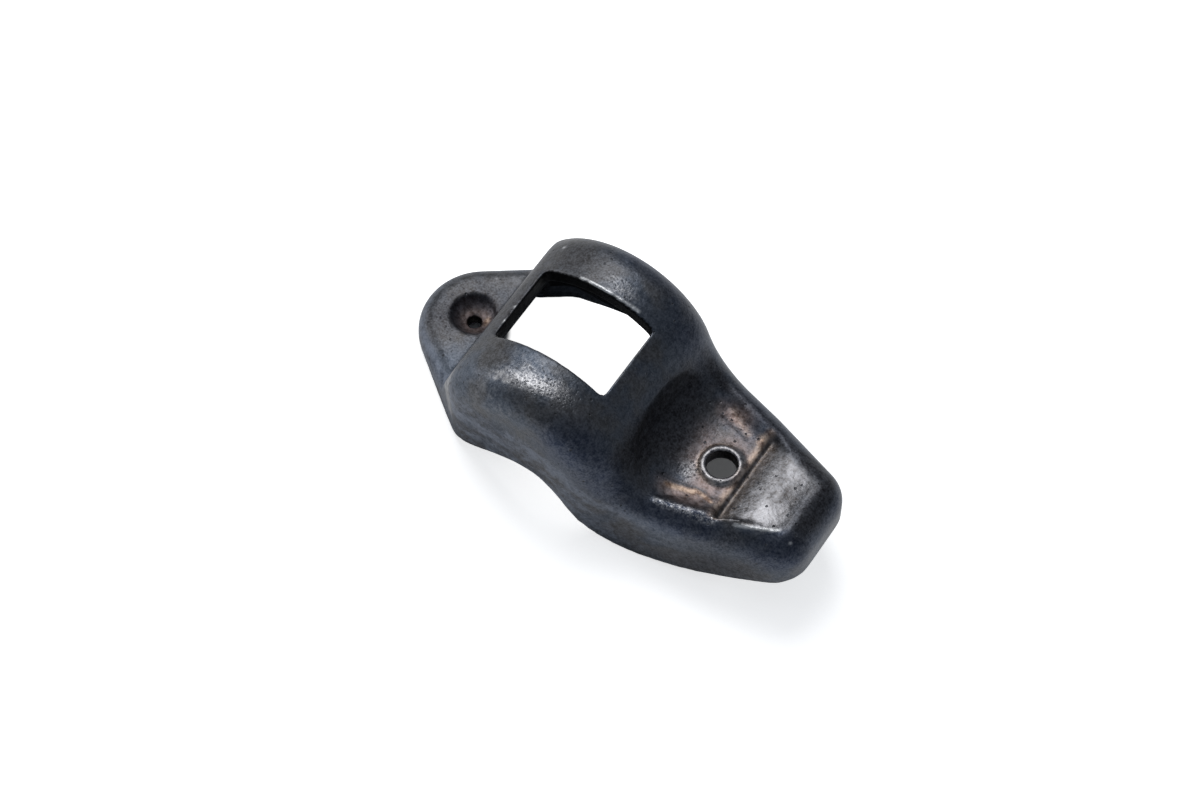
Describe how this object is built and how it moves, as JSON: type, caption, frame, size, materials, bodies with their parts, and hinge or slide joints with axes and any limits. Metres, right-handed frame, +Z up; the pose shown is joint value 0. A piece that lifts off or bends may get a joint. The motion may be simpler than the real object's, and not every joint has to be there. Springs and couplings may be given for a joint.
{
  "type": "rocker arm",
  "caption": "Stamped steel engine rocker arm with a barrel over its fulcrum, a bolt window, a railed valve end with an oil hole, and a rounded nose with a pushrod cup.",
  "frame": {"origin": "centre of the bounding box on the ground, with the arm lying on the rim of its skirt and the trough underneath", "axes": "+X from the pushrod cup to the valve pad, +Y along the fulcrum axis, +Z up"},
  "size_m": [0.0734, 0.0344, 0.0246],
  "materials": {
    "hardened_steel": "case-hardened pressed sheet steel, dark blue-grey to brown oil-stained scale, worn bright on the shoulders and the valve pad"
  },
  "bodies": {
    "root": {"rocker_arm": "hardened_steel"}
  },
  "joints": []
}
